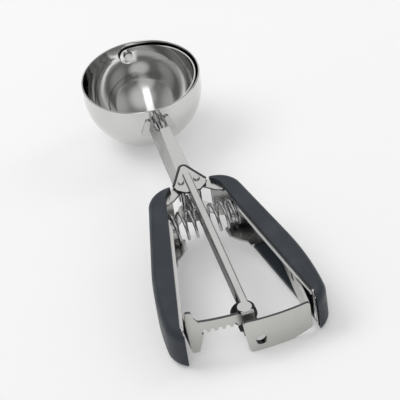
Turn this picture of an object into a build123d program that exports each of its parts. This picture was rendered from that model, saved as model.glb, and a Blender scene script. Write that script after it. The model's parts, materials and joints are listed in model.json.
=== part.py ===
from build123d import *
import math
import os

# Lever ice cream scoop, in millimetres.
# The tool's own frame: the origin is the centre of the bowl's sphere, on the axis of the
# wiper shaft. +Y runs from the handles to the bowl, +Z is up and +X is to the right.
# Every piece is drawn there, and rest_pose lays the tool down as it lies on a table.

# Bowl and wiper
bowl_radius = 28.0
bowl_wall = 0.8
collar_height = 6.7
wiper_gap = 0.6
wiper_sheet = 0.6
wiper_width = 8.4
wiper_rest_tilt = 3.5
far_pin_radius = 1.3
far_pin_hole_radius = 1.38
bush_radius = 2.5

# Shaft and gears
shaft_radius = 1.2
running_gap = 0.05
gear_module = 1.05
pinion_teeth = 7
pressure_angle = 25.0
rack_addendum = 0.65
rack_dedendum = 1.10
pinion_addendum = 0.85
pinion_dedendum = 0.90
backlash = 0.16
first_rack_tooth = -0.9
rack_gaps = 7

# Frame: neck, yokes and top strap, all of pressed sheet
sheet = 1.0
neck_top = 8.5
neck_front = -26.5
neck_rear = -79.0
neck_tip = -44.5
neck_floor = -7.5
yoke_pin_x = 3.6
yoke_pin_y = -86.0
strap_start = -80.0
strap_end = -179.4
strap_half_width = 1.75
strap_side = 0.7
strap_depth = 8.0
strap_depth_at_spring = 1.7
strap_side_y = (-164.0, -96.0)
spring_room_y = -114.0
tab_thickness = 1.2
tail_bush_radius = 1.88
pin_radius = 1.2
pin_head_radius = 1.5

# Handles
half_span = 35.2
tail_start = -172.0
tail_radius = 12.5
tail_sweep = 60.0
side_radius = 160.0
side_lean = 13.4
straight_run = 41.0
shoulder_radius = 12.5
lip_top = (13.4, -97.0)
lip_tail = (29.4, -176.5)
lip_root = (8.8, -88.6)
grip_wall = 2.2
grip_top = 10.1
grip_bottom = -9.0
grip_rounding = 3.6
channel_top = 8.2
channel_bottom = -7.2
channel_proud = 1.5
channel_tail = (28.6, -176.0)
flange_end = -121.0
fit_gap = 0.05
lug_radius = 3.2

# End plates
plate_sheet = 1.2
rack_sheet = 1.4
rack_top = 9.2
horn_top = 14.9
pinion_rear = -177.9
pinion_front = -175.2
hub_radius = 2.7
drum_rear = -170.2
drum_front = -165.8
drum_radius = 5.6
rack_reach = 90.83
guide_radius = 96.3
hang_hole_radius = 2.5
hang_hole = (3.0, -2.8)
plate_rivet_radius = 1.0
plate_rivet_y = -128.0
plate_rivet_heights = (-2.0, 4.0)
leg_bend_y = -132.5
leg_front_y = -123.5
leg_height = (-5.0, 7.0)
rack_leg_corner = (25.9, -174.6)
guide_leg_corner = (26.0, -180.0)
web_slot_y = (-157.2, -154.8)
web_slot_z = 2.5
web_slot_radius = 2.0

# Handle spring
spring_y = -105.0
spring_height = 1.0
spring_radius = 6.2
spring_wire = 1.4
spring_pitch = 4.0
spring_shaft_gap = 2.3
spring_half_length = 14.3
seat_radius = 5.2
seat_collar_radius = 6.1
seat_peg_end = 11.5
seat_collar = (15.1, 16.1)

# Lying on a table, the bowl and both handle tails touch it
table_contact_y = -177.97
table_contact_z = -9.0
centre_y = -77.22

# Worked out from the driving dimensions
pitch_radius = gear_module * pinion_teeth / 2
base_radius = pitch_radius * math.cos(math.radians(pressure_angle))
tooth_pitch = math.pi * gear_module
half_tooth = (tooth_pitch / 2 - backlash) / 2
inner_radius = bowl_radius - bowl_wall
blade_radius = inner_radius - wiper_gap
strap_top = neck_top + 2 * sheet
tab_front = strap_end + tab_thickness
skin = grip_wall + fit_gap
lining = skin + sheet + fit_gap
rest_tilt = math.degrees(math.asin((bowl_radius + table_contact_z) / -table_contact_y))


def slab(face, low, high):
    """Raise a face drawn in the XY plane into a plate between two heights."""
    return Pos(0, 0, low) * extrude(face, high - low, dir=(0, 0, 1))


def upright(face, near, far):
    """Raise a face drawn in X and Z into a plate between two places along Y."""
    return Pos(0, near, 0) * extrude(Plane.XZ * face, far - near, dir=(0, 1, 0))


def polygon(*points):
    """A flat face with straight sides."""
    return make_face(Polyline(*points, close=True))


def rounded(radius, *points):
    """A flat face with straight sides and round corners."""
    return make_face(FilletPolyline(*points, radius=radius, close=True))


def rod(radius, near, far, x=0.0, z=0.0):
    """A round bar along Y."""
    return Pos(x, (near + far) / 2, z) * Rot(90, 0, 0) * Cylinder(radius, far - near)


def post(radius, low, high, x, y):
    """A round bar along Z."""
    return Pos(x, y, (low + high) / 2) * Cylinder(radius, high - low)


def cross_bar(radius, left, right, y, z):
    """A round bar along X."""
    return Pos((left + right) / 2, y, z) * Rot(0, 90, 0) * Cylinder(radius, right - left)


def block(x, y, z):
    """A box between two limits on each axis."""
    middle = Pos((x[0] + x[1]) / 2, (y[0] + y[1]) / 2, (z[0] + z[1]) / 2)
    return middle * Box(x[1] - x[0], y[1] - y[0], z[1] - z[0])


def mirrored(shape):
    """The same piece for the other side of the tool."""
    return mirror(shape, about=Plane.YZ)


# Bowl and wiper


def make_bowl():
    """Half a hollow sphere under a short collar, with a hole at each end of the axis."""
    inner = inner_radius
    slope = math.sqrt(0.5)
    shoulder = collar_height - bowl_wall / 2
    wall = make_face([
        ThreePointArc((0, -bowl_radius), (bowl_radius * slope, -bowl_radius * slope),
                      (bowl_radius, 0)),
        Line((bowl_radius, 0), (bowl_radius, shoulder)),
        ThreePointArc((bowl_radius, shoulder), (bowl_radius - bowl_wall / 2, collar_height),
                      (inner, shoulder)),
        Line((inner, shoulder), (inner, 0)),
        ThreePointArc((inner, 0), (inner * slope, -inner * slope), (0, -inner)),
        Line((0, -inner), (0, -bowl_radius)),
    ])
    bowl = revolve(Plane.XZ * wall, Axis.Z, 360)
    bowl -= rod(bush_radius + 0.02, -bowl_radius - 2, -inner + 2)
    return bowl - rod(far_pin_radius + 0.02, inner - 2, bowl_radius + 2)


def make_wiper():
    """A band of a thin sphere, from one end of the axis to the other."""
    shell = Sphere(blade_radius) - Sphere(blade_radius - wiper_sheet)
    half = wiper_width / 2
    band = block((0, 30), (-30, 30), (-half, half)) + rod(half, -30, 30)
    blade = shell & band
    blade -= rod(shaft_radius + 0.02, -30, 0)
    blade -= rod(far_pin_hole_radius, 0, 30)
    return Rot(0, -wiper_rest_tilt, 0) * blade


def make_far_pin():
    """The rivet that the wiper's far end turns on, headed on both sides."""
    pin = rod(far_pin_radius, blade_radius - 1.5, bowl_radius + 0.1)
    head = rod(2.7, bowl_radius + 0.05, bowl_radius + 0.85)
    head = fillet(head.edges().group_by(Axis.Y)[-1], 0.6)
    return pin + head + rod(2.1, blade_radius - 1.55, blade_radius - 0.85)


def make_shaft():
    """The long thin rod from the wiper to the pinion."""
    shaft = rod(shaft_radius, strap_end - 0.7, -blade_radius + 1.6)
    return chamfer(shaft.edges().group_by(Axis.Y)[-1], 0.3)


def make_blade_collar():
    """The collar inside the bowl that holds the wiper to the shaft."""
    collar = rod(1.9, -blade_radius + 0.95, -blade_radius + 1.6)
    return collar - rod(shaft_radius + 0.02, -30, -20)


def make_neck_bush():
    """The plain bearing where the shaft enters the bowl."""
    bush = rod(bush_radius, -bowl_radius - 3.0, -inner_radius)
    return bush - rod(shaft_radius + running_gap, -40, -20)


# Gears


def involute(angle):
    """The involute function, with the angle in radians."""
    return math.tan(angle) - angle


def tooth_half_angle(radius):
    """Half the angle that a pinion tooth takes up at a radius, on its involute flank."""
    at_pitch = half_tooth / pitch_radius + involute(math.radians(pressure_angle))
    return at_pitch - involute(math.acos(base_radius / radius))


def make_pinion():
    """A small spur gear on the shaft, in mesh with the rack, with a drum in front of it."""
    tip = pitch_radius + pinion_addendum
    radii = [base_radius, base_radius + 0.3, base_radius + 0.7, tip - 0.2, tip]
    flank = [(pitch_radius - pinion_dedendum, tooth_half_angle(base_radius))]
    flank += [(radius, tooth_half_angle(radius)) for radius in radii]
    outline = []
    for tooth in range(pinion_teeth):
        middle = first_rack_tooth / pitch_radius
        middle += (tooth + 0.5) * 2 * math.pi / pinion_teeth
        turns = [(radius, middle - half) for radius, half in flank]
        turns += [(radius, middle + half) for radius, half in reversed(flank)]
        outline += [(radius * math.sin(turn), radius * math.cos(turn)) for radius, turn in turns]
    gear = upright(polygon(*outline), pinion_rear, pinion_front + 0.2)
    gear += rod(hub_radius, pinion_front, drum_rear + 0.2)
    drum = rod(drum_radius, drum_rear, drum_front)
    gear += fillet(drum.edges().filter_by(GeomType.CIRCLE), 0.7)
    return gear - rod(shaft_radius + 0.02, pinion_rear - 1, drum_front + 1)


def rack_gap():
    """The space between two rack teeth, straight behind a pivot at the origin."""
    slope = math.tan(math.radians(pressure_angle))
    mouth = pitch_radius - rack_addendum - 0.6
    root = pitch_radius + rack_dedendum
    at_mouth = tooth_pitch / 2 - half_tooth + (pitch_radius - mouth) * slope
    at_root = tooth_pitch / 2 - half_tooth - rack_dedendum * slope
    face = polygon((-at_mouth, mouth), (at_mouth, mouth), (at_root, root), (-at_root, root))
    return upright(face, -rack_reach - 5, -rack_reach + 8)


def curved_plate(radius, thickness, outline, pivot_x):
    """A plate bent round a handle's pivot, cut to an outline drawn in X and Z."""
    ring = Cylinder(radius + thickness, 60) - Cylinder(radius, 60)
    return (Pos(pivot_x, yoke_pin_y, 0) * ring) & upright(outline, -190, -150)


def web_slot():
    """A bar of oblong section, for the slots in the channel's web and the plate's leg."""
    rear, front = web_slot_y
    reach = (23, side_x(grip_wall, rear))
    low, high = web_slot_z - web_slot_radius, web_slot_z + web_slot_radius
    ends = cross_bar(web_slot_radius, *reach, rear, web_slot_z)
    ends += cross_bar(web_slot_radius, *reach, front, web_slot_z)
    return ends + block(reach, (rear, front), (low, high))


def plate_leg(corner_x, corner_y):
    """The strip from an end plate's outer edge forward, riveted to the channel's web."""
    bend_x = side_x(lining + 0.03, leg_bend_y)
    front_x = side_x(lining + 0.03, leg_front_y)
    strip = polygon(
        (corner_x, corner_y), (bend_x, leg_bend_y), (front_x, leg_front_y),
        (front_x - plate_sheet, leg_front_y), (bend_x - plate_sheet, leg_bend_y + 0.2),
        (corner_x - plate_sheet, corner_y))
    return slab(strip, *leg_height) - rivet_holes()


def rivet_holes():
    """Two bars through the channel's web and the leg that is riveted to it."""
    middle = side_x(lining, plate_rivet_y)
    low, high = plate_rivet_heights
    reach = (middle - 2.4, middle + 1.2)
    return (cross_bar(plate_rivet_radius, *reach, plate_rivet_y, low)
            + cross_bar(plate_rivet_radius, *reach, plate_rivet_y, high))


def make_rack_plate():
    """The left handle's end plate, with a horn and the rack that turns the pinion."""
    tip = pitch_radius - rack_addendum
    outline = rounded(
        1.0, (0.9, rack_top), (-21.2, rack_top), (-22.8, 11.4), (-23.4, horn_top),
        (-26.2, horn_top), (-26.5, 8.0), (-25.5, -7.6), (-22.3, -7.6), (-19.4, tip), (0.9, tip))
    plate = curved_plate(rack_reach - rack_sheet / 2, rack_sheet, outline, -yoke_pin_x)
    start = math.asin(yoke_pin_x / rack_reach)
    for gap in range(rack_gaps):
        along = first_rack_tooth + (0.5 - gap) * tooth_pitch
        turn = math.degrees(start + along / rack_reach)
        plate -= Pos(-yoke_pin_x, yoke_pin_y, 0) * Rot(0, 0, turn) * rack_gap()
    return plate


def make_rack_leg(plate):
    """The strip that joins the rack plate to the left handle's channel."""
    return mirrored(plate_leg(*rack_leg_corner)) - plate


def make_guide_plate():
    """The right handle's end plate, which slides behind the rack and has the hanging hole."""
    outline = rounded(
        1.6, (-4.1, 8.7), (26.0, 8.0), (26.0, -6.2), (17.0, -8.1), (-2.4, -8.2))
    plate = curved_plate(guide_radius, plate_sheet, outline, yoke_pin_x)
    return plate - rod(hang_hole_radius, -190, -170, *hang_hole)


def make_guide_leg(plate):
    """The slotted strip that joins the guide plate to the right handle's channel."""
    return plate_leg(*guide_leg_corner) - plate - web_slot()


def make_plate_rivets():
    """Two dome-headed rivets, flush outside, under the grip."""
    outer = side_x(skin + 0.05, plate_rivet_y) - 0.3
    inner = side_x(lining + plate_sheet, plate_rivet_y) - 0.52
    rivets = []
    for height in plate_rivet_heights:
        shank = cross_bar(plate_rivet_radius - 0.02, inner - 0.7, outer, plate_rivet_y, height)
        head = cross_bar(1.8, inner - 1.0, inner, plate_rivet_y, height)
        rivets.append(shank + fillet(head.edges().group_by(Axis.X)[0], 0.6))
    return Compound(rivets)


# Frame


def neck_wall():
    """One leaning side wall of the neck, on the right."""
    front = polygon((0.5, neck_top), (1.5, neck_top), (4.6, -3.2), (3.6, -3.2))
    rear = polygon((2.5, neck_top), (3.5, neck_top), (4.3, neck_floor), (3.3, neck_floor))
    return loft([Pos(0, neck_front, 0) * (Plane.XZ * front),
                 Pos(0, neck_rear, 0) * (Plane.XZ * rear)], ruled=True)


def saddle_ear():
    """The flare of the neck's right wall that lies on the bowl."""
    ear = Sphere(bowl_radius + sheet) - Sphere(bowl_radius + fit_gap)
    side = Plane.XZ * rounded(1.0, (3.4, 2.0), (5.6, 2.0), (8.4, -6.0), (7.0, -10.5), (3.4, -9.0))
    return ear & (Pos(0, -32, 0) * extrude(side, 14, dir=(0, 1, 0)))


def make_neck():
    """A folded channel from the bowl to the yokes, open below and at its front top."""
    top = polygon((-1.5, neck_front), (1.5, neck_front), (3.5, neck_rear), (-3.5, neck_rear))
    wall = neck_wall()
    neck = slab(top, neck_top - sheet, neck_top) + wall + mirrored(wall)
    opening = make_face([
        Line((neck_tip, 12), (neck_tip, neck_top - sheet)),
        ThreePointArc((neck_tip, neck_top - sheet), (-40.5, 4.3), (-26, 2.4)),
        Line((-26, 2.4), (-26, 12)),
        Line((-26, 12), (neck_tip, 12)),
    ])
    neck -= Pos(-10, 0, 0) * extrude(Plane.YZ * opening, 20, dir=(1, 0, 0))
    ear = saddle_ear()
    neck += ear + mirrored(ear)
    return neck - Sphere(bowl_radius + fit_gap) - Cylinder(bowl_radius + fit_gap, 40)


def yoke(low):
    """The three-cornered plate that carries both handle pivots."""
    face = rounded(
        1.0, (-1.3, -75.2), (1.3, -75.2), (7.4, -87.4), (6.6, -90.4), (3.4, -93.4),
        (-3.4, -93.4), (-6.6, -90.4), (-7.4, -87.4))
    plate = slab(face, low, low + sheet)
    for x in (-yoke_pin_x, yoke_pin_x):
        plate -= post(pin_radius + 0.02, low - 1, low + 2, x, yoke_pin_y)
    return plate


def strap_bar():
    """The strap's straight run, with round corners along its top."""
    low = strap_top - sheet
    start_y = strap_start - strap_half_width
    width = (-strap_half_width, strap_half_width)
    bar = block(width, (strap_end, start_y), (low, strap_top))
    rear, front = strap_side_y
    bar += block(width, (spring_room_y, front), (strap_top - strap_depth_at_spring, low))
    bar += block(width, (rear, spring_room_y), (strap_top - strap_depth, low))
    inside = strap_half_width - strap_side
    bar -= block((-inside, inside), (rear - 1, front + 1), (strap_top - strap_depth - 1, low))
    corners = bar.edges().filter_by(Axis.Y).group_by(Axis.Z)[-1]
    return fillet(corners, 0.75) + post(strap_half_width, low, strap_top - 0.3, 0, start_y)


def make_top_strap():
    """The long stiff strap over the shaft, its end bent down as the rear bearing."""
    low = strap_top - sheet
    strap = strap_bar() + post(3.1, low, strap_top, -0.7, tab_front + 2.9)
    tab = rounded(1.4, (-3.1, strap_top + 2), (2.3, strap_top + 2), (2.3, -2.6), (-3.1, -2.6))
    strap += upright(tab, strap_end, tab_front) - block((-9, 9), (-190, -170), (strap_top, 20))
    corner = strap.edges().filter_by(Axis.X).group_by(Axis.Y)[0].sort_by(Axis.Z)[-1]
    strap = fillet(corner, 0.9)
    return strap - rod(tail_bush_radius + 0.02, strap_end - 1, tab_front + 1)


def make_tail_bush():
    """The bearing in the strap's bent end."""
    bush = rod(tail_bush_radius, strap_end - 0.05, tab_front + 0.05)
    return bush - rod(shaft_radius + running_gap, -190, -170)


def make_tail_collar():
    """The collar on the shaft's end, which keeps it from sliding forward."""
    collar = rod(1.75, strap_end - 0.75, strap_end - 0.2)
    return collar - rod(shaft_radius + 0.02, strap_end - 1, strap_end)


def make_pivot_rivet(x):
    """A handle's pivot: a pin through both yokes, headed above and below."""
    top = neck_top + sheet
    bottom = neck_floor - sheet
    upper = post(pin_head_radius, top + 0.05, top + 0.8, x, yoke_pin_y)
    lower = post(2.2, bottom - 0.7, bottom - 0.05, x, yoke_pin_y)
    upper = fillet(upper.edges().group_by(Axis.Z)[-1], 0.4)
    lower = fillet(lower.edges().group_by(Axis.Z)[0], 0.4)
    return post(pin_radius, bottom - 0.1, top + 0.1, x, yoke_pin_y) + upper + lower


def make_pivot_washers():
    """Four thin washers that space the handles' lugs from the yokes."""
    washers = []
    for x in (-yoke_pin_x, yoke_pin_x):
        for low, high in ((channel_top, neck_top), (neck_floor, channel_bottom)):
            ring = post(2.8, low + 0.05, high - 0.05, x, yoke_pin_y)
            washers.append(ring - post(pin_radius + 0.02, low, high, x, yoke_pin_y))
    return Compound(washers)


# Handles


def side_x(inset, y):
    """How far out the handle's long outer line is: an arc, then a straight run in front."""
    radius = side_radius - inset
    lean = math.radians(side_lean)
    run_start = tail_start + radius * math.sin(lean)
    if y < run_start:
        return half_span - side_radius + math.sqrt(radius ** 2 - (y - tail_start) ** 2)
    start_x = half_span - side_radius + radius * math.cos(lean)
    return start_x - (y - run_start) * math.tan(lean)


def outer_edges(inset):
    """The handle's outer line in plan, from its shoulder to its tail."""
    lean = math.radians(side_lean)
    out = (math.cos(lean), math.sin(lean))
    middle = (half_span - side_radius, tail_start)
    low = (middle[0] + side_radius * out[0], middle[1] + side_radius * out[1])
    high = (low[0] - straight_run * out[1], low[1] + straight_run * out[0])
    shoulder = (high[0] - shoulder_radius * out[0], high[1] - shoulder_radius * out[1])
    tail = (half_span - tail_radius, tail_start)
    return [
        CenterArc(shoulder, shoulder_radius - inset, 90, side_lean - 90),
        Line((high[0] - inset * out[0], high[1] - inset * out[1]),
             (low[0] - inset * out[0], low[1] - inset * out[1])),
        CenterArc(middle, side_radius - inset, side_lean, -side_lean),
        CenterArc(tail, tail_radius - inset, 0, -tail_sweep),
    ]


def core_face(inset):
    """A face with the handle's outer line, filled in towards the middle of the tool."""
    outer = outer_edges(inset)
    first = outer[0] @ 0
    last = outer[-1] @ 1
    return make_face(outer + [Polyline(last, (2.0, last.Y), (2.0, first.Y), first)])


def handle_face(inset, proud):
    """The handle's plan: its outer line, and its inner edge moved inwards by proud."""
    outer = outer_edges(inset)
    first = outer[0] @ 0
    last = outer[-1] @ 1
    root = (first.X, lip_root[1] - proud)
    top = (lip_top[0] - proud, lip_top[1])
    tail = (lip_tail[0] - proud, lip_tail[1])
    bend = (root[0] * 0.3 + top[0] * 0.7 + 0.2, root[1] * 0.55 + top[1] * 0.45)
    inner = [Line(last, tail), Line(tail, top), ThreePointArc(top, bend, root),
             Line(root, first)]
    return make_face(outer + inner)


def long_rim(shape, height):
    """The straight edge of a handle's outer line at one height."""
    for edge in shape.edges().filter_by(GeomType.LINE):
        level = abs((edge @ 0).Z - height) + abs((edge @ 1).Z - height) < 0.001
        if level and abs(edge.length - straight_run) < 0.001:
            return edge
    raise ValueError("no straight rim at this height")


def make_grip():
    """The grip, wrapped round the outside of the right handle's channel."""
    core = slab(core_face(0), grip_bottom, grip_top)
    core = fillet(long_rim(core, grip_top), grip_rounding)
    core = fillet(long_rim(core, grip_bottom), grip_rounding)
    grip = core & slab(handle_face(0, 0), grip_bottom, grip_top)
    return grip - slab(core_face(grip_wall), channel_bottom - fit_gap, channel_top + fit_gap)


def lug_face():
    """The ear that carries the handle's pivot hole, in plan."""
    tongue = polygon(
        (yoke_pin_x, yoke_pin_y + lug_radius), (5.7, yoke_pin_y + 2.4), (8.8, -87.7),
        (12.0, -96.0), (9.5, -95.0), (yoke_pin_x, yoke_pin_y - lug_radius))
    return Pos(yoke_pin_x, yoke_pin_y) * Circle(lug_radius) + tongue


def make_channel():
    """The right handle's pressed channel, open inwards, with the pivot lugs."""
    channel = slab(handle_face(skin, channel_proud), channel_bottom, channel_top)
    shelf = polygon((13.0, -97.0), (12.8, -103.0), (9.2, -106.0), (9.8, -111.0),
                    (13.2, -115.4), (18.0, -119.8), (19.0, flange_end), (17.0, -97.0))
    channel += slab(shelf, channel_bottom, channel_bottom + sheet)
    channel += slab(lug_face(), channel_bottom, channel_top)
    inside = core_face(skin + sheet)
    channel -= slab(inside, channel_bottom + sheet, channel_top - sheet)
    open_bottom = block((0, 40), (-190, flange_end), (-20, 0))
    channel -= slab(inside, channel_bottom - 1, channel_bottom + sheet) & open_bottom
    web_start = (outer_edges(skin)[0] @ 0).X
    channel -= block((0, web_start), (-100, -80), (channel_bottom + sheet, channel_top - sheet))
    channel -= block((0, channel_tail[0]), (-190, channel_tail[1]), (-20, 20))
    channel -= block((0, 15.2), (-113.5, -96.5), (channel_top - sheet - 1, 20))
    channel -= post(pin_radius + 0.06, -20, 20, yoke_pin_x, yoke_pin_y)
    return channel - web_slot() - rivet_holes()


def make_spring_seat():
    """The peg and collar that hold the right end of the handle spring."""
    peg = cross_bar(seat_radius, seat_peg_end, 24, spring_y, spring_height)
    seat = chamfer(peg.edges().group_by(Axis.X)[0], 0.8)
    seat += cross_bar(seat_collar_radius, *seat_collar, spring_y, spring_height)
    return seat & slab(core_face(lining), -20, 20)


def make_handle_spring():
    """The coil that pushes the handles apart, with a wide turn over the shaft."""
    spread = spring_shaft_gap - spring_pitch / 4
    half_sweep = (spring_half_length - spread) / spring_pitch * 2 * math.pi
    steps = 80
    points = []
    for step in range(-steps, steps + 1):
        turn = half_sweep * step / steps
        wide = math.sin(max(-math.pi / 2, min(math.pi / 2, turn)))
        points.append((
            spring_pitch * turn / (2 * math.pi) + spread * wide,
            spring_y - spring_radius * math.sin(turn),
            spring_height + spring_radius * math.cos(turn)))
    path = Spline(*points)
    section = Plane(path @ 0, z_dir=path % 0) * Circle(spring_wire / 2)
    return sweep(section, path=path)


# Laying down and writing out


def rest_pose(shape):
    """Lay the tool down on a table, with the origin under the middle of its box."""
    return Pos(0, -centre_y, bowl_radius) * Rot(rest_tilt, 0, 0) * shape


def all_pieces():
    """Every separate piece, by name."""
    grip = make_grip()
    channel = make_channel()
    rivets = make_plate_rivets()
    seat = make_spring_seat()
    rack_plate = make_rack_plate()
    guide_plate = make_guide_plate()
    return {
        "bowl": make_bowl(),
        "bowl_neck": make_neck(),
        "neck_bush": make_neck_bush(),
        "wiper_pivot_rivet": make_far_pin(),
        "upper_yoke": yoke(neck_top),
        "lower_yoke": yoke(neck_floor - sheet),
        "top_strap": make_top_strap(),
        "tail_bush": make_tail_bush(),
        "left_pivot_rivet": make_pivot_rivet(-yoke_pin_x),
        "right_pivot_rivet": make_pivot_rivet(yoke_pin_x),
        "pivot_washers": make_pivot_washers(),
        "handle_spring": make_handle_spring(),
        "wiper_blade": make_wiper(),
        "wiper_shaft": make_shaft(),
        "blade_collar": make_blade_collar(),
        "pinion_gear": make_pinion(),
        "tail_collar": make_tail_collar(),
        "left_handle_channel": mirrored(channel),
        "left_grip": mirrored(grip),
        "rack_plate": rack_plate,
        "rack_leg": make_rack_leg(rack_plate),
        "left_plate_rivets": mirrored(rivets),
        "left_spring_seat": mirrored(seat),
        "right_handle_channel": channel,
        "right_grip": grip,
        "guide_plate": guide_plate,
        "guide_leg": make_guide_leg(guide_plate),
        "right_plate_rivets": rivets,
        "right_spring_seat": seat,
    }


os.makedirs("parts", exist_ok=True)
for name, piece in all_pieces().items():
    export_step(rest_pose(piece), f"parts/{name}.step")
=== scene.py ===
import json
import math

import bmesh
import bpy
import numpy as np
from mathutils import Matrix, Vector


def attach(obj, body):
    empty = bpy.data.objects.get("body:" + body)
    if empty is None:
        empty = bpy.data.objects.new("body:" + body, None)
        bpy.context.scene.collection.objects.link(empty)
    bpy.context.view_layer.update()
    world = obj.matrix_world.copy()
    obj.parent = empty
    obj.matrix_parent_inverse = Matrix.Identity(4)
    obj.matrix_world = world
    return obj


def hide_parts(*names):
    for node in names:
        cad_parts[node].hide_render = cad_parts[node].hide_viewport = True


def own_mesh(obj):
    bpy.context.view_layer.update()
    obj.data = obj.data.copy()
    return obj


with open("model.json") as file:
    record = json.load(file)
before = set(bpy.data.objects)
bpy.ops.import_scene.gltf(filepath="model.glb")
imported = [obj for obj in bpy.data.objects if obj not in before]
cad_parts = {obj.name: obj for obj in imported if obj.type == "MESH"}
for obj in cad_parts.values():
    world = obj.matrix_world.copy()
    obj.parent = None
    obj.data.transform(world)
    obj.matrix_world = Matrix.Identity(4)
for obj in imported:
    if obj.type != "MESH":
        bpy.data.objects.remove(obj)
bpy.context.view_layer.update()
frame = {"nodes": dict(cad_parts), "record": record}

MM = 0.001
QUARTER_TURN = math.pi / 2
SIDEWAYS = (1.0, 0.0, 0.0)
UPWARD = (0.0, 0.0, 1.0)

# The tool's own frame, as in the part's source: millimetres from the centre of the bowl's
# sphere, +Y from the handles to the bowl, +Z up. It lies on the table tipped by this much,
# and CENTRE_Y is the middle of its box along the table.
TIP_SINE = 19.0 / 177.97
TIP_COSINE = math.sqrt(1 - TIP_SINE ** 2)
CENTRE_Y = -77.22
BOWL_RADIUS = 28.0

# Camera: its place and aim in the tool's frame, lens and sensor in millimetres, roll in
# degrees, and how far it sees in metres
CAMERA_PLACE = (-146.95, -938.23, 728.26)
CAMERA_AIM = (2.93, -90.0, 0.06)
CAMERA_LENS = 228.37
CAMERA_SENSOR = 36.0
CAMERA_ROLL = 10.3566
CAMERA_REACH = 20.0

# Floor: half its width in metres, its grey, and how strongly it glows where it is seen
FLOOR_HALF_WIDTH = 8.0
FLOOR_GREY = 0.78
FLOOR_GLOW = 0.25

# Soft boxes, in metres and watts: name, place, width and height, power
LAMP_AIM = (0.0, 0.0, 0.02)
LAMPS = (
    ("key_box", (-0.75, 0.45, 1.25), (1.1, 0.9), 8.2),
    ("front_box", (0.45, -1.15, 0.75), (1.2, 0.45), 0.6),
    ("side_box", (1.15, 0.35, 0.75), (0.5, 1.0), 3.0),
)

# The room's brightness by the height that a ray points to, and its soft windows: direction,
# where the lobe starts and is full, as dot products, and strength
ROOM_STOPS = ((0.0, 0.86), (0.06, 0.72), (0.15, 0.20), (0.35, 0.19), (0.60, 0.23), (1.0, 0.27))
WINDOWS = (
    ((0.12, 0.70, 0.71), 0.80, 0.985, 0.68),
    ((-0.02, -0.62, 0.78), 0.84, 1.0, 0.46),
    ((-0.85, 0.10, 0.50), 0.80, 1.0, 0.26),
    ((0.80, -0.35, 0.48), 0.84, 1.0, 0.24),
    ((-0.30, -0.88, 0.36), 0.93, 1.0, 0.40),
)
# A strip light: its middle, where its length ends, the way across it, its half width
STRIP_MIDDLE = (-0.18, -0.40, 0.90)
STRIP_REACH = (0.80, 0.93)
STRIP_ACROSS = (0.975, -0.179, 0.13)
STRIP_WIDTH = (0.08, 0.16)
STRIP_STRENGTH = 1.15

# Steel at full grain and full marks: changes of roughness, how far the colour goes to a
# duller one, and depths in millimetres
GRAIN_ROUGHNESS = 0.30
SMUDGE_ROUGHNESS = 0.10
SCRATCH_ROUGHNESS = 0.22
DULL_SHARE = 0.86
SMUDGE_DULLING = 0.5
GRAIN_DULLING = 0.8
WAVE_DEPTH = 0.22
GRAIN_DEPTH = 0.004
SCRATCH_DEPTH = 0.003

# Moulded plastic: its gloss, how far wear and flecks shift the colour, and roughness changes
PLASTIC_SPECULAR = 0.30
WEAR_TINT = 0.55
FLECK_TINT = 0.30
WEAR_ROUGHNESS = -0.08
MOULDED_ROUGHNESS = 0.10

# Rounding of sharp edges: the merging distance in metres, and in degrees what counts as
# flat, as sharp for the shading and as an edge to round
MERGE_DISTANCE = 2e-6
FLAT_ANGLE = 0.4
SHARP_ANGLE = 28
ROUNDED_ANGLE = 32
ROUNDING_STEPS = 3

# Domed end of a wire: its height and its ring's radius as shares of the wire's radius, and
# how far up the dome that ring is
DOME_HEIGHT = 0.35
DOME_RING = 0.8
DOME_RING_LIFT = 0.75

# Handle spring, as in the part's source
SPRING_Y = -105.0
SPRING_HEIGHT = 1.0
SPRING_RADIUS = 6.2
SPRING_WIRE = 1.4
SPRING_PITCH = 4.0
SPRING_SHAFT_GAP = 2.3
SPRING_HALF_LENGTH = 14.3
SPRING_STEPS = 460
SPRING_SIDES = 20

TRIM_SIDES = 16

# Rolled bead on the rear end of each handle's channel: where it stands, its foot and head,
# and the share of its height over which the foot curls outwards and forward, and how far
BEAD_PLACE = (28.9, -176.6)
BEAD_HEIGHTS = (-7.8, 10.0)
BEAD_RADIUS = 0.62
BEAD_STEPS = 48
CURL_SHARE = 0.16
CURL_REACH = 0.9

# Dark tube round the front of the upper yoke, painted shade for the shadow line along its edge:
# a nose and two straight legs
RIM_CENTRE_Y = -76.75
RIM_NOSE_RADIUS = 1.85
RIM_NOSE_STEPS = 40
RIM_LEG_LEAN = 26.6
RIM_LEG_LENGTH = 12.5
RIM_LEG_STEPS = 30
RIM_HEIGHT = 9.15
RIM_RADIUS = 0.7

# The sleeve takes the near-black gear finish: painted shade inside the hole
# Sleeve in the hanging hole: where the hole is, the sleeve's radii and reach, the power that
# squares its section, and its steps round the hole and round the section
HOLE_X = 3.0
HOLE_Z = -2.8
SLEEVE_RADII = (2.5, 2.85)
SLEEVE_REACH = (-182.99, -180.75)
SLEEVE_CORNER = 0.35
SLEEVE_STEPS = 72
SLEEVE_SECTION_STEPS = 20


def laid(points):
    """Points of the tool's own frame, in millimetres, where they are as it lies, in metres."""
    x, y, z = np.moveaxis(np.asarray(points, float), -1, 0)
    across = y * TIP_COSINE - z * TIP_SINE - CENTRE_Y
    up = y * TIP_SINE + z * TIP_COSINE + BOWL_RADIUS
    return np.stack([x, across, up], -1) * MM


def linked(name, data):
    """A new object with this data, in the scene."""
    thing = bpy.data.objects.new(name, data)
    bpy.context.scene.collection.objects.link(thing)
    return thing


# ---------------------------------------------------------------- shader nodes


def nodes_of(material):
    """The node tree of a new material, emptied but for its output."""
    material.use_nodes = True
    tree = material.node_tree
    tree.nodes.clear()
    return tree, tree.nodes.new("ShaderNodeOutputMaterial")


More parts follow.
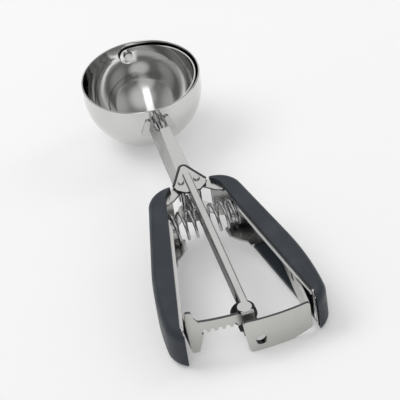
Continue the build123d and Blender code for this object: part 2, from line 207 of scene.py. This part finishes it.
def maths(tree, kind, first, second=None, third=None):
    """A Math node; its inputs are sockets or numbers."""
    node = tree.nodes.new("ShaderNodeMath")
    node.operation = kind
    for plug, value in zip(node.inputs, (first, second, third)):
        if value is None:
            continue
        if isinstance(value, (int, float)):
            plug.default_value = value
        else:
            tree.links.new(value, plug)
    return node.outputs[0]


def weighted(tree, start, *terms):
    """The start, a socket or a number, plus each term's socket times its weight."""
    total = start
    for socket, weight in terms:
        total = maths(tree, "MULTIPLY_ADD", socket, weight, total)
    return total


def scaled(tree, vector, factors):
    """A vector stretched along its axes by fixed factors."""
    node = tree.nodes.new("ShaderNodeVectorMath")
    node.operation = "MULTIPLY"
    tree.links.new(vector, node.inputs[0])
    node.inputs[1].default_value = factors
    return node.outputs[0]


def facing(tree, direction, toward):
    """The dot product of a ray's direction and a fixed one."""
    dot = tree.nodes.new("ShaderNodeVectorMath")
    dot.operation = "DOT_PRODUCT"
    dot.inputs[1].default_value = Vector(toward).normalized()
    tree.links.new(direction, dot.inputs[0])
    return dot.outputs["Value"]


def noise(tree, vector, scale, detail=2.0, roughness=0.5):
    """A noise texture's value at a vector in millimetres; scale is in bumps per millimetre."""
    node = tree.nodes.new("ShaderNodeTexNoise")
    node.inputs["Scale"].default_value = scale
    node.inputs["Detail"].default_value = detail
    node.inputs["Roughness"].default_value = roughness
    tree.links.new(vector, node.inputs["Vector"])
    return node.outputs[0]


def band(tree, value, low, high):
    """0 under low, 1 over high and a smooth step between."""
    node = tree.nodes.new("ShaderNodeMapRange")
    node.interpolation_type = "SMOOTHSTEP"
    node.inputs["From Min"].default_value = low
    node.inputs["From Max"].default_value = high
    tree.links.new(value, node.inputs["Value"])
    return node.outputs[0]


def seen_directly(tree):
    """1 for camera, mirror and glass rays and 0 for the rays that light a surface."""
    path = tree.nodes.new("ShaderNodeLightPath")
    total = path.outputs["Is Camera Ray"]
    for kind in ("Is Glossy Ray", "Is Transmission Ray"):
        add = tree.nodes.new("ShaderNodeMath")
        add.operation = "ADD"
        add.use_clamp = True
        tree.links.new(total, add.inputs[0])
        tree.links.new(path.outputs[kind], add.inputs[1])
        total = add.outputs[0]
    return total


# ---------------------------------------------------------------- camera and light


def place_camera():
    """Looks down on the handle end, from a little to the left."""
    data = bpy.data.cameras.new("studio_camera")
    data.sensor_width = CAMERA_SENSOR
    data.lens = CAMERA_LENS
    data.clip_end = CAMERA_REACH
    camera = linked("studio_camera", data)
    place = laid(CAMERA_PLACE)
    aim = laid(CAMERA_AIM) - place
    aim /= np.linalg.norm(aim)
    level = np.cross(aim, UPWARD)
    level /= np.linalg.norm(level)
    down = np.cross(aim, level)
    roll = math.radians(CAMERA_ROLL)
    right = math.cos(roll) * level + math.sin(roll) * down
    up = math.sin(roll) * level - math.cos(roll) * down
    turn = np.eye(4)
    turn[:3, :3] = np.stack([right, up, -aim], 1)
    turn[:3, 3] = place
    camera.matrix_world = Matrix(turn.tolist())
    bpy.context.scene.camera = camera


def make_lamps():
    """Soft boxes that face the tool and don't show in polished steel."""
    for name, place, size, power in LAMPS:
        data = bpy.data.lights.new(name, "AREA")
        data.shape = "RECTANGLE"
        data.size, data.size_y = size
        data.energy = power
        lamp = linked(name, data)
        lamp.location = place
        toward = Vector(LAMP_AIM) - Vector(place)
        lamp.rotation_euler = toward.to_track_quat("-Z", "Y").to_euler()
        lamp.visible_glossy = False


def make_floor():
    """A wide pale floor that takes the tool's shadow and glows a little where it is seen."""
    half = FLOOR_HALF_WIDTH
    mesh = bpy.data.meshes.new("floor")
    corners = [(-half, -half, 0), (half, -half, 0), (half, half, 0), (-half, half, 0)]
    mesh.from_pydata(corners, [], [(0, 1, 2, 3)])
    floor = linked("floor", mesh)
    material = bpy.data.materials.new("pale_floor")
    tree, out = nodes_of(material)
    shade = tree.nodes.new("ShaderNodeBsdfDiffuse")
    shade.inputs["Color"].default_value = (FLOOR_GREY, FLOOR_GREY, FLOOR_GREY, 1)
    glow = tree.nodes.new("ShaderNodeEmission")
    glow.inputs["Color"].default_value = (1, 1, 1, 1)
    strength = maths(tree, "MULTIPLY", seen_directly(tree), FLOOR_GLOW)
    tree.links.new(strength, glow.inputs["Strength"])
    both = tree.nodes.new("ShaderNodeAddShader")
    tree.links.new(shade.outputs[0], both.inputs[0])
    tree.links.new(glow.outputs[0], both.inputs[1])
    tree.links.new(both.outputs[0], out.inputs["Surface"])
    mesh.materials.append(material)


def room_light(tree, direction):
    """The room's brightness: a ramp over the ray's height, soft windows and a strip light.

    A window is a smooth step of the dot product of the ray's direction and the window's.
    The strip is such a step along its length times one across its width.
    """
    split = tree.nodes.new("ShaderNodeSeparateXYZ")
    tree.links.new(direction, split.inputs[0])
    ramp = tree.nodes.new("ShaderNodeValToRGB")
    ramp.color_ramp.interpolation = "EASE"
    elements = ramp.color_ramp.elements
    while len(elements) < len(ROOM_STOPS):
        elements.new(0.5)
    for element, (height, grey) in zip(elements, ROOM_STOPS):
        element.position = height
        element.color = (grey, grey, grey, 1)
    tree.links.new(split.outputs["Z"], ramp.inputs[0])
    lobes = [(band(tree, facing(tree, direction, toward), edge, middle), strength)
             for toward, edge, middle, strength in WINDOWS]
    along = band(tree, facing(tree, direction, STRIP_MIDDLE), *STRIP_REACH)
    off = maths(tree, "ABSOLUTE", facing(tree, direction, STRIP_ACROSS))
    across = maths(tree, "SUBTRACT", 1.0, band(tree, off, *STRIP_WIDTH))
    strip = maths(tree, "MULTIPLY", along, across)
    return weighted(tree, ramp.outputs[0], *lobes, (strip, STRIP_STRENGTH))


def make_room():
    """A dim room with soft windows, which polished steel mirrors."""
    world = bpy.data.worlds.new("room")
    bpy.context.scene.world = world
    world.use_nodes = True
    tree = world.node_tree
    back = tree.nodes["Background"]
    direction = tree.nodes.new("ShaderNodeTexCoord").outputs["Generated"]
    tree.links.new(room_light(tree, direction), back.inputs["Color"])


# ---------------------------------------------------------------- shader node groups


def start_group(name, *outputs):
    """A new shader group that reads a vector: the group, that vector and its output node."""
    group = bpy.data.node_groups.new(name, "ShaderNodeTree")
    group.interface.new_socket("Vector", in_out="INPUT", socket_type="NodeSocketVector")
    for label in outputs:
        group.interface.new_socket(label, in_out="OUTPUT", socket_type="NodeSocketFloat")
    vector = group.nodes.new("NodeGroupInput").outputs["Vector"]
    return group, vector, group.nodes.new("NodeGroupOutput")


def make_grain_group():
    """Brushed grain along Y: fine streaks, broken up by a slower change."""
    group, vector, out = start_group("brushed_grain", "Streaks")
    fine = noise(group, scaled(group, vector, (9.0, 0.35, 9.0)), 1.0, 3.0, 0.65)
    broad = noise(group, scaled(group, vector, (2.2, 0.12, 2.2)), 1.0)
    group.links.new(weighted(group, 0.0, (fine, 0.65), (broad, 0.35)), out.inputs["Streaks"])
    return group


def hairlines(group, vector, factors, width, cover):
    """Thin lines where a stretched noise crosses its middle value, kept only in patches."""
    stretched = noise(group, scaled(group, vector, factors), 1.0, detail=1.0)
    away = maths(group, "ABSOLUTE", maths(group, "SUBTRACT", stretched, 0.5))
    line = maths(group, "SUBTRACT", 1.0, band(group, away, 0.0, width))
    patch = band(group, noise(group, vector, 0.11), cover, cover + 0.08)
    return maths(group, "MULTIPLY", line, patch)


def make_marks_group():
    """Marks of use: soft smudges, and hairline scratches in two directions."""
    group, vector, out = start_group("use_marks", "Smudge", "Scratch")
    soft = noise(group, vector, 0.055, 4.0, 0.6)
    group.links.new(band(group, soft, 0.42, 0.72), out.inputs["Smudge"])
    first = hairlines(group, vector, (1.6, 0.16, 1.6), width=0.006, cover=0.50)
    second = hairlines(group, vector, (0.22, 1.9, 0.9), width=0.005, cover=0.54)
    group.links.new(maths(group, "MAXIMUM", first, second), out.inputs["Scratch"])
    return group


def make_waves_group():
    """The faint unevenness of pressed sheet, which bends reflections."""
    group, vector, out = start_group("pressed_waves", "Height")
    slow = noise(group, vector, 0.045, detail=1.0)
    quick = noise(group, vector, 0.17)
    group.links.new(weighted(group, slow, (quick, 0.12)), out.inputs["Height"])
    return group


def make_moulded_group():
    """Fine moulded grain, slow patches of wear that polish it, and small flecks."""
    group, vector, out = start_group("moulded_grain", "Height", "Wear", "Fleck")
    group.links.new(noise(group, vector, 2.6, roughness=0.6), out.inputs["Height"])
    slow = noise(group, vector, 0.07, detail=3.0)
    group.links.new(band(group, slow, 0.45, 0.70), out.inputs["Wear"])
    fleck = noise(group, vector, 1.1, detail=1.0)
    group.links.new(band(group, fleck, 0.66, 0.74), out.inputs["Fleck"])
    return group


GRAIN = make_grain_group()
MARKS = make_marks_group()
WAVES = make_waves_group()
MOULDED = make_moulded_group()


# ---------------------------------------------------------------- materials


def placed_group(tree, group, vector):
    """The outputs of a group's node in a material, reading a vector."""
    node = tree.nodes.new("ShaderNodeGroup")
    node.node_tree = group
    tree.links.new(vector, node.inputs["Vector"])
    return node.outputs


def piece_vector(tree, turn=(0.0, 0.0, 0.0)):
    """Object coordinates in millimetres, turned so that the grain's Y runs along the piece."""
    place = tree.nodes.new("ShaderNodeTexCoord")
    mapping = tree.nodes.new("ShaderNodeMapping")
    mapping.inputs["Rotation"].default_value = turn
    mapping.inputs["Scale"].default_value = (1000, 1000, 1000)
    tree.links.new(place.outputs["Object"], mapping.inputs["Vector"])
    return mapping.outputs[0]


def principled(name, colour, roughness, metallic):
    """A material with one Principled shader and its plain values set."""
    material = bpy.data.materials.new(name)
    tree, out = nodes_of(material)
    shader = tree.nodes.new("ShaderNodeBsdfPrincipled")
    shader.inputs["Base Color"].default_value = (*colour, 1)
    shader.inputs["Roughness"].default_value = roughness
    shader.inputs["Metallic"].default_value = metallic
    tree.links.new(shader.outputs[0], out.inputs["Surface"])
    return material, tree, shader


def tinted(tree, first, second, mask):
    """A colour that goes from the first to the second as the mask goes from 0 to 1."""
    mix = tree.nodes.new("ShaderNodeMix")
    mix.data_type = "RGBA"
    mix.inputs[6].default_value = (*first, 1)
    mix.inputs[7].default_value = (*second, 1)
    tree.links.new(mask, mix.inputs[0])
    return mix.outputs[2]


def bumped(tree, shader, layers):
    """Bump nodes in a row, one for each height and its depth in millimetres."""
    normal = None
    for height, depth in layers:
        bump = tree.nodes.new("ShaderNodeBump")
        bump.inputs["Distance"].default_value = depth * MM
        tree.links.new(height, bump.inputs["Height"])
        if normal is not None:
            tree.links.new(normal, bump.inputs["Normal"])
        normal = bump.outputs[0]
    tree.links.new(normal, shader.inputs["Normal"])


def steel(name, colour, roughness, grain, marks, waves, turn=(0.0, 0.0, 0.0)):
    """Stainless steel: grain, marks and waves say how strongly each shows."""
    material, tree, shader = principled(name, colour, roughness, 1.0)
    vector = piece_vector(tree, turn)
    streaks = placed_group(tree, GRAIN, vector)["Streaks"]
    used = placed_group(tree, MARKS, vector)
    uneven = placed_group(tree, WAVES, vector)["Height"]
    rough = weighted(
        tree, roughness - grain * GRAIN_ROUGHNESS / 2,
        (streaks, grain * GRAIN_ROUGHNESS),
        (used["Smudge"], marks * SMUDGE_ROUGHNESS),
        (used["Scratch"], marks * SCRATCH_ROUGHNESS))
    tree.links.new(rough, shader.inputs["Roughness"])
    dull = tuple(DULL_SHARE * part for part in colour)
    dulling = weighted(
        tree, 0.0, (used["Smudge"], marks * SMUDGE_DULLING), (streaks, grain * GRAIN_DULLING))
    tree.links.new(tinted(tree, colour, dull, dulling), shader.inputs["Base Color"])
    bumped(tree, shader, [
        (uneven, WAVE_DEPTH * waves),
        (streaks, GRAIN_DEPTH * grain),
        (used["Scratch"], -SCRATCH_DEPTH * marks)])
    return material


def moulded(name, colour, worn, roughness, depth):
    """Moulded plastic with a fine grain, flecks and patches worn smoother."""
    material, tree, shader = principled(name, colour, roughness, 0.0)
    shader.inputs["Specular IOR Level"].default_value = PLASTIC_SPECULAR
    grain = placed_group(tree, MOULDED, piece_vector(tree))
    shift = weighted(tree, 0.0, (grain["Wear"], WEAR_TINT), (grain["Fleck"], FLECK_TINT))
    tree.links.new(tinted(tree, colour, worn, shift), shader.inputs["Base Color"])
    rough = weighted(
        tree, roughness, (grain["Wear"], WEAR_ROUGHNESS), (grain["Height"], MOULDED_ROUGHNESS))
    tree.links.new(rough, shader.inputs["Roughness"])
    bumped(tree, shader, [(grain["Height"], depth)])
    return material


# Name, colour, roughness, then how strong the grain, the marks and the waves are
MIRROR = steel("mirror_steel", (0.66, 0.66, 0.65), 0.07, 0.10, 0.5, 0.9)
PRESSED = steel("pressed_steel", (0.60, 0.60, 0.59), 0.22, 0.35, 0.6, 0.5)
SATIN = steel("satin_steel", (0.60, 0.60, 0.575), 0.34, 0.55, 0.5, 0.2, (0.0, 0.0, QUARTER_TURN))
TURNED = steel("turned_steel", (0.58, 0.58, 0.58), 0.18, 0.2, 0.4, 0.1)
WIRE = steel("spring_wire", (0.60, 0.60, 0.60), 0.16, 0.2, 0.3, 0.1)
CUP = steel("cup_steel", (0.56, 0.56, 0.56), 0.14, 0.25, 0.5, 0.4)
# Paler than the other steel: a painted highlight along the bead
BEAD_HIGHLIGHT = steel("bead_painted_highlight", (0.82, 0.82, 0.81), 0.20, 0.1, 0.2, 0.1)
EDGE = steel("deburred_edge", (0.62, 0.62, 0.61), 0.16, 0.1, 0.3, 0.1)
# Near-black steel for the strap's sides, the yokes' rims, the plates' top and bottom faces and
# the tube round the upper yoke: painted shade
PAINTED_SHADE_SIDE = steel("painted_shade_side", (0.10, 0.10, 0.105), 0.34, 0.5, 0.5, 0.1)
# Darker steel for the neck's upright walls: painted shade
PAINTED_SHADE_WALL = steel("painted_shade_wall", (0.34, 0.34, 0.335), 0.26, 0.45, 0.6, 0.4)
# The pinion's own dark steel; on the sleeve in the hanging hole it is painted shade
OILED_GEAR_AND_HOLE_SHADE = steel("oiled_gear_and_hole_shade", (0.055, 0.055, 0.06), 0.30, 0.5, 0.6, 0.2)
GRIP = moulded("slate_grip", (0.036, 0.042, 0.052), (0.050, 0.057, 0.069), 0.44, 0.012)

FINISH = {
    "bowl_steel": MIRROR, "pressed_steel": PRESSED, "plate_steel": SATIN,
    "turned_steel": TURNED, "spring_steel": WIRE, "dark_gear": OILED_GEAR_AND_HOLE_SHADE,
    "cup_steel": CUP, "grip": GRIP,
}
SLOT = {part["node"]: part["material_slot"] for part in frame["record"]["subparts"]}


def finish_nodes():
    """Gives every CAD node its finish."""
    for name, node in frame["nodes"].items():
        node.data.materials.clear()
        node.data.materials.append(FINISH[SLOT[name]])


# ---------------------------------------------------------------- pieces from the CAD


def body_with(node):
    """The body that a CAD node belongs to."""
    for body, nodes in frame["record"]["behaviour"]["bodies"].items():
        if node in nodes:
            return body
    raise ValueError(f"no body has {node}")


def add_piece(mesh, body, slot, *nodes, finish=None):
    """Puts a finished mesh in the scene as a piece that rides a body.

    It replaces the CAD nodes named, and takes its slot's finish unless another is given.
    """
    piece = linked(mesh.name, mesh)
    mesh.materials.append(finish or FINISH[slot])
    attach(piece, body)
    if nodes:
        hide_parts(*nodes)
    return piece


def deburred(node, rounding, edge=None, side=None, picker=None):
    """A copy of a CAD piece, merged, with its sharp edges rounded over.

    The rounded edges take the edge's finish. The faces that the picker chooses, by the sizes
    of their normals' parts, take the side's, a darker finish that paints shade onto them; a side
    is given only together with an edge.
    """
    mesh = frame["nodes"][node].data.copy()
    mesh.name = node + "_deburred"
    mesh.materials.clear()
    shape = bmesh.new()
    shape.from_mesh(mesh)
    bmesh.ops.remove_doubles(shape, verts=shape.verts, dist=MERGE_DISTANCE)
    bmesh.ops.dissolve_limit(
        shape, angle_limit=math.radians(FLAT_ANGLE), verts=shape.verts, edges=shape.edges)
    shape.to_mesh(mesh)
    shape.free()
    for stray in ("custom_normal", "sharp_edge", "sharp_face"):
        if stray in mesh.attributes:
            mesh.attributes.remove(mesh.attributes[stray])
    mesh.shade_smooth()
    mesh.set_sharp_from_angle(angle=math.radians(SHARP_ANGLE))
    piece = add_piece(mesh, body_with(node), SLOT[node], node)
    bevel = piece.modifiers.new("rounded_edges", "BEVEL")
    bevel.width = rounding * MM
    bevel.segments = ROUNDING_STEPS
    bevel.limit_method = "ANGLE"
    bevel.angle_limit = math.radians(ROUNDED_ANGLE)
    bevel.miter_outer = "MITER_ARC"
    if edge is not None:
        mesh.materials.append(edge)
        bevel.material = 1
    if side is not None:
        mesh.materials.append(side)
        normals = np.empty(3 * len(mesh.polygons))
        mesh.polygons.foreach_get("normal", normals)
        picked = picker(np.abs(normals.reshape(-1, 3)))
        mesh.polygons.foreach_set("material_index", np.where(picked, 2, 0).astype(np.int32))
    weighted_normals = piece.modifiers.new("flat_faces", "WEIGHTED_NORMAL")
    weighted_normals.keep_sharp = False


def left_or_right(normals):
    """Picks the upright faces that look along X or nearly."""
    return (normals[:, 0] > 0.4) & (normals[:, 2] < 0.3)


def up_or_down(normals):
    """Picks the faces that look along Z."""
    return normals[:, 2] > 0.8


def round_the_rim(normals):
    """Picks the faces square to a flat plate."""
    return normals[:, 2] < 0.3


# ---------------------------------------------------------------- pieces of the scene's own


def surface(name, points, faces):
    """A smooth mesh of points in the tool's own frame."""
    mesh = bpy.data.meshes.new(name)
    mesh.from_pydata(laid(points).tolist(), [], faces)
    mesh.shade_smooth()
    return mesh


def grid_faces(rows, columns, closed):
    """Faces between the neighbours in a grid whose columns wrap, and its rows too if closed."""
    row, column = np.meshgrid(
        np.arange(rows if closed else rows - 1), np.arange(columns), indexing="ij")
    next_row, next_column = (row + 1) % rows, (column + 1) % columns
    return np.stack([
        row * columns + column, row * columns + next_column,
        next_row * columns + next_column, next_row * columns + column],
        -1).reshape(-1, 4).tolist()


def domed(ring, middle, outward):
    """The smaller ring and the tip that close a tube; outward reaches from middle to tip."""
    return middle + DOME_RING * (ring - middle) + DOME_RING_LIFT * outward, middle + outward


def tube(name, path, radius, sides, beside=SIDEWAYS):
    """A round wire: rings of points at a fixed distance from the path, square to it.

    The path never runs along beside, which sets where each ring starts.
    """
    path = np.asarray(path, float)
    along = np.gradient(path, axis=0)
    along /= np.linalg.norm(along, axis=1, keepdims=True)
    across = np.cross(along, beside)
    across /= np.linalg.norm(across, axis=1, keepdims=True)
    third = np.cross(along, across)
    turn = np.linspace(0, 2 * np.pi, sides, endpoint=False)[None, :, None]
    spokes = np.cos(turn) * across[:, None] + np.sin(turn) * third[:, None]
    rings = path[:, None] + radius * spokes
    height = DOME_HEIGHT * radius
    first_ring, first_tip = domed(rings[0], path[0], -height * along[0])
    last_ring, last_tip = domed(rings[-1], path[-1], height * along[-1])
    rings = np.concatenate([first_ring[None], rings, last_ring[None]])
    points = np.concatenate([rings.reshape(-1, 3), [first_tip, last_tip]])
    side = np.arange(sides)
    after = (side + 1) % sides
    last_start = (len(rings) - 1) * sides
    tip = np.full(sides, len(rings) * sides)
    first_fan = np.stack([after, side, tip], -1)
    last_fan = np.stack([side + last_start, after + last_start, tip + 1], -1)
    faces = grid_faces(len(rings), sides, False) + first_fan.tolist() + last_fan.tolist()
    return surface(name, points, faces)


def make_spring():
    """The coil between the handles, which shortens as they close.

    Its middle line is a circle in Y and Z while x grows with the turn t: x = pitch t / 2 pi +
    spread sin t, with t held within a quarter turn in the sine. So the middle half turn is
    wider, to step over the shaft.
    """
    spread = SPRING_SHAFT_GAP - SPRING_PITCH / 4
    half_sweep = (SPRING_HALF_LENGTH - spread) / SPRING_PITCH * 2 * np.pi
    turn = np.linspace(-half_sweep, half_sweep, SPRING_STEPS)
    wide = np.sin(np.clip(turn, -QUARTER_TURN, QUARTER_TURN))
    path = np.stack([
        SPRING_PITCH * turn / (2 * np.pi) + spread * wide,
        SPRING_Y - SPRING_RADIUS * np.sin(turn),
        SPRING_HEIGHT + SPRING_RADIUS * np.cos(turn)], -1)
    mesh = tube("coil_spring", path, SPRING_WIRE / 2, SPRING_SIDES)
    piece = add_piece(mesh, "frame", "spring_steel", "handle_spring")
    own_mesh(piece)


def make_yoke_shadow_rim():
    """The rim's middle line is an arc round the nose, and from its ends two lines run back."""
    lean = math.radians(RIM_LEG_LEAN)
    turn = np.linspace(lean, math.pi - lean, RIM_NOSE_STEPS)
    nose = RIM_NOSE_RADIUS * np.stack([np.cos(turn), np.sin(turn)], -1)
    back = RIM_LEG_LENGTH * np.linspace(1, 0, RIM_LEG_STEPS, endpoint=False)[:, None]
    right_leg = nose[0] + back * (math.sin(lean), -math.cos(lean))
    left_leg = (nose[-1] + back * (-math.sin(lean), -math.cos(lean)))[::-1]
    plan = np.concatenate([right_leg, nose, left_leg])
    path = np.stack([
        plan[:, 0], plan[:, 1] + RIM_CENTRE_Y, np.full(len(plan), RIM_HEIGHT)], -1)
    mesh = tube("yoke_shadow_rim", path, RIM_RADIUS, TRIM_SIDES, UPWARD)
    # Near-black finish: painted shade along the front of the upper yoke
    add_piece(mesh, "frame", "pressed_steel", finish=PAINTED_SHADE_SIDE)


def make_hole_sleeve():
    """A ring turned round the hole's axis.

    Its section is a box with round corners: the signed powers of a circle's cosine and sine.
    """
    turn, section = np.meshgrid(
        np.linspace(0, 2 * np.pi, SLEEVE_STEPS, endpoint=False),
        np.linspace(0, 2 * np.pi, SLEEVE_SECTION_STEPS, endpoint=False), indexing="ij")
    side = np.sign(np.cos(section)) * np.abs(np.cos(section)) ** SLEEVE_CORNER
    end = np.sign(np.sin(section)) * np.abs(np.sin(section)) ** SLEEVE_CORNER
    inner, outer = SLEEVE_RADII
    rear, front = SLEEVE_REACH
    radius = (inner + outer) / 2 + side * (outer - inner) / 2
    points = np.stack([
        HOLE_X + radius * np.cos(turn), (rear + front) / 2 + end * (front - rear) / 2,
        HOLE_Z + radius * np.sin(turn)], -1)
    mesh = surface("hole_sleeve", points.reshape(-1, 3), grid_faces(*turn.shape, True))
    # Near-black finish: painted shade inside the hanging hole
    add_piece(mesh, "right_handle", "plate_steel", finish=OILED_GEAR_AND_HOLE_SHADE)


def make_end_bead(side_name, side):
    """The rolled bead on a channel's rear end: upright, its foot curled outwards and forward.

    The curl is a square that falls to nothing over the lowest share of the height.
    """
    lift = np.linspace(0, 1, BEAD_STEPS)
    curl = CURL_REACH * np.clip((CURL_SHARE - lift) / CURL_SHARE, 0, 1) ** 2
    foot, head = BEAD_HEIGHTS
    path = np.stack([
        side * (BEAD_PLACE[0] + curl), BEAD_PLACE[1] + curl, foot + (head - foot) * lift], -1)
    mesh = tube(f"{side_name}_end_bead", path, BEAD_RADIUS, TRIM_SIDES)
    # The bead's paler steel is a painted highlight
    add_piece(mesh, f"{side_name}_handle", "turned_steel", finish=BEAD_HIGHLIGHT)


place_camera()
make_room()
make_lamps()
bpy.context.scene.view_settings.view_transform = "Standard"
make_floor()
finish_nodes()
make_spring()
# Each CAD piece's rounding is in millimetres
# The neck's upright walls take darker steel: painted shade
deburred("bowl_neck", 0.22, EDGE, PAINTED_SHADE_WALL, left_or_right)
# The strap's upright sides take near-black steel: painted shade
deburred("top_strap", 0.22, EDGE, PAINTED_SHADE_SIDE, left_or_right)
# The faces round each yoke's rim take near-black steel: painted shade
for yoke in ("upper_yoke", "lower_yoke"):
    deburred(yoke, 0.2, EDGE, PAINTED_SHADE_SIDE, round_the_rim)
make_yoke_shadow_rim()
make_hole_sleeve()
# The top and bottom faces of each plate take near-black steel: painted shade
for plate in ("rack_plate", "guide_plate"):
    deburred(plate, 0.2, EDGE, PAINTED_SHADE_SIDE, up_or_down)
for sheet_piece in ("rack_leg", "guide_leg", "left_handle_channel", "right_handle_channel"):
    deburred(sheet_piece, 0.2, EDGE)
for solid_piece, rounding in (
        ("left_grip", 0.45), ("right_grip", 0.45), ("pinion_gear", 0.12),
        ("wiper_blade", 0.12), ("left_spring_seat", 0.3), ("right_spring_seat", 0.3)):
    deburred(solid_piece, rounding)
for side_name, side in (("left", -1), ("right", 1)):
    make_end_bead(side_name, side)
